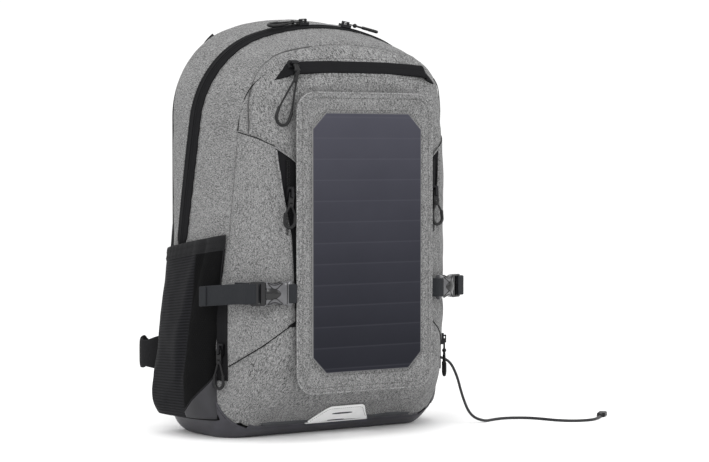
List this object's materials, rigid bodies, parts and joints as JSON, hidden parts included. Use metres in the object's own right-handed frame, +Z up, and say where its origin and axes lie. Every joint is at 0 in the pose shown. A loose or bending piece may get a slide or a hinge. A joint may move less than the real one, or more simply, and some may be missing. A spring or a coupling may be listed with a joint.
{
  "type": "solar backpack",
  "caption": "Fabric daypack with a detachable solar panel on its front, zipped pockets, buckled compression straps and a charging cable from a side zip.",
  "frame": {"origin": "on the floor, under the middle of the bag's box (the free charging cable is left out)", "axes": "+Z up, -Y towards the solar panel at the front, +X to the right as seen from the front"},
  "size_m": [0.5323, 0.2583, 0.4722],
  "materials": {
    "woven_grey": "melange woven polyester, matt",
    "coated_base": "polyurethane-coated fabric with a soft sheen",
    "lining": "thin plain-woven lining",
    "zip_tape": "matt laminated zip tape",
    "back_mesh": "black spacer mesh over foam",
    "pocket_mesh": "black stretch mesh",
    "pocket_hem": "black elastic binding",
    "webbing": "ribbed black webbing",
    "reflective": "light grey reflective transfer",
    "stiffener": "black polypropylene sheet",
    "buckle": "glossy moulded black",
    "slider_metal": "black enamelled zinc",
    "pull_cord": "moulded black over cord",
    "backsheet": "dark polymer sheet",
    "solar_cell": "dark blue-grey cells under film",
    "front_film": "clear textured fluoropolymer film",
    "moulding": "moulded dark grey",
    "cable": "dark grey cable jacket",
    "plug_metal": "stamped plug shell",
    "stud_metal": "dark nickel press stud"
  },
  "bodies": {
    "bag_front": {"base_boot": "coated_base", "base_board": "stiffener", "front_gusset": "woven_grey", "front_panel": "woven_grey", "front_lining": "lining", "main_zip_tape_front": "zip_tape", "front_zip_tape": "zip_tape", "pocket_zip_tapes": "zip_tape", "wings": "woven_grey", "reflective_patch": "reflective", "side_pocket_left": "pocket_mesh", "side_pocket_right": "pocket_mesh", "pocket_hems": "pocket_hem", "buckle_females": "buckle", "strap_anchors": "webbing", "stud_sockets": "stud_metal", "panel_socket": "moulding", "charge_regulator": "moulding", "panel_lead": "cable", "usb_a_plug": "moulding", "charging_cable_inner": "cable", "charging_cord": "cable", "usb_plug_overmold": "moulding", "usb_plug_tip": "plug_metal"},
    "bag_rear": {"rear_gusset": "woven_grey", "back_panel": "back_mesh", "frame_sheet": "stiffener", "laptop_sleeve": "lining", "main_zip_tape_rear": "zip_tape", "back_pads": "back_mesh", "shoulder_straps": "back_mesh", "ladder_locks": "buckle", "strap_webbings": "webbing", "hip_belt_tabs": "back_mesh", "grab_handle": "webbing"},
    "solar_module": {"module_carrier": "woven_grey", "laminate_backsheet": "backsheet", "solar_cells": "solar_cell", "front_film": "front_film", "junction_box": "moulding", "module_studs": "stud_metal"},
    "front_zip_slider": {"front_slider": "slider_metal", "front_pull": "pull_cord"},
    "buckle_left": {"buckle_male_left": "buckle", "compression_strap_left": "webbing"},
    "buckle_right": {"buckle_male_right": "buckle", "compression_strap_right": "webbing"},
    "stash_zip_slider_left": {"stash_slider_left": "slider_metal"},
    "stash_zip_pull_left": {"stash_pull_left": "pull_cord"},
    "stash_zip_slider_right": {"stash_slider_right": "slider_metal"},
    "stash_zip_pull_right": {"stash_pull_right": "pull_cord"},
    "cable_zip_slider_left": {"cable_slider_left": "slider_metal"},
    "cable_zip_pull_left": {"cable_pull_left": "pull_cord"},
    "cable_zip_slider_right": {"cable_slider_right": "slider_metal"},
    "cable_zip_pull_right": {"cable_pull_right": "pull_cord"},
    "main_zip_slider_left": {"main_slider_left": "slider_metal"},
    "main_zip_pull_left": {"main_pull_left": "pull_cord"},
    "main_zip_slider_right": {"main_slider_right": "slider_metal"},
    "main_zip_pull_right": {"main_pull_right": "pull_cord"}
  },
  "joints": [
    {"name": "open_main_compartment", "type": "hinge", "parent": "bag_front", "child": "bag_rear", "pos_m": [0, 0.0759, 0.0136], "axis": [-1, 0, 0], "range_deg": [0, 12]},
    {"name": "module_detach", "type": "slide", "parent": "bag_front", "child": "solar_module", "axis": [0, -1, 0], "range_m": [0, 0.05]},
    {"name": "front_zip_travel", "type": "slide", "parent": "bag_front", "child": "front_zip_slider", "axis": [1, 0, 0], "range_m": [0, 0.165]},
    {"name": "buckle_release_left", "type": "slide", "parent": "bag_front", "child": "buckle_left", "axis": [-0.9231, 0.3846, 0], "range_m": [0, 0.02]},
    {"name": "buckle_release_right", "type": "slide", "parent": "bag_front", "child": "buckle_right", "axis": [0.9231, 0.3846, 0], "range_m": [0, 0.02]},
    {"name": "main_zip_travel_left", "type": "hinge", "parent": "bag_front", "child": "main_zip_slider_left", "pos_m": [0, 0.03367, 0.20288], "axis": [0, -0.9766, -0.2149], "range_deg": [0, 12]},
    {"name": "main_pull_lift_left", "type": "hinge", "parent": "main_zip_slider_left", "child": "main_zip_pull_left", "pos_m": [-0.02512, -0.02343, 0.46239], "axis": [0, 0.9766, 0.2149], "range_deg": [0, 100]},
    {"name": "stash_zip_travel_left", "type": "slide", "parent": "bag_front", "child": "stash_zip_slider_left", "axis": [0, 0, 1], "range_m": [-0.048, 0.036]},
    {"name": "stash_pull_lift_left", "type": "hinge", "parent": "stash_zip_slider_left", "child": "stash_zip_pull_left", "pos_m": [-0.097, -0.1098, 0.271], "axis": [-0.9962, 0, 0.0872], "range_deg": [0, 100]},
    {"name": "cable_zip_travel_left", "type": "slide", "parent": "bag_front", "child": "cable_zip_slider_left", "axis": [0, 0, 1], "range_m": [-0.02, 0.04]},
    {"name": "cable_pull_lift_left", "type": "hinge", "parent": "cable_zip_slider_left", "child": "cable_zip_pull_left", "pos_m": [-0.14973, -0.04553, 0.1], "axis": [-0.3123, 0.95, 0], "range_deg": [0, 100]},
    {"name": "main_zip_travel_right", "type": "hinge", "parent": "bag_front", "child": "main_zip_slider_right", "pos_m": [0, 0.03367, 0.20288], "axis": [0, 0.9766, 0.2149], "range_deg": [0, 10]},
    {"name": "main_pull_lift_right", "type": "hinge", "parent": "main_zip_slider_right", "child": "main_zip_pull_right", "pos_m": [0.03345, -0.02323, 0.4615], "axis": [0, -0.9766, -0.2149], "range_deg": [0, 100]},
    {"name": "stash_zip_travel_right", "type": "slide", "parent": "bag_front", "child": "stash_zip_slider_right", "axis": [0, 0, 1], "range_m": [-0.048, 0.036]},
    {"name": "stash_pull_lift_right", "type": "hinge", "parent": "stash_zip_slider_right", "child": "stash_zip_pull_right", "pos_m": [0.097, -0.1098, 0.271], "axis": [-0.9962, 0, -0.0872], "range_deg": [0, 100]},
    {"name": "cable_zip_travel_right", "type": "slide", "parent": "bag_front", "child": "cable_zip_slider_right", "axis": [0, 0, 1], "range_m": [-0.012, 0.026]},
    {"name": "cable_pull_lift_right", "type": "hinge", "parent": "cable_zip_slider_right", "child": "cable_zip_pull_right", "pos_m": [0.1405, -0.06888, 0.1], "axis": [-0.4573, -0.8893, 0], "range_deg": [0, 100]}
  ],
  "couplings": [
    {"joint": "main_zip_travel_left", "follows": "open_main_compartment", "ratio": 1},
    {"joint": "main_zip_travel_right", "follows": "open_main_compartment", "ratio": 0.8333}
  ]
}
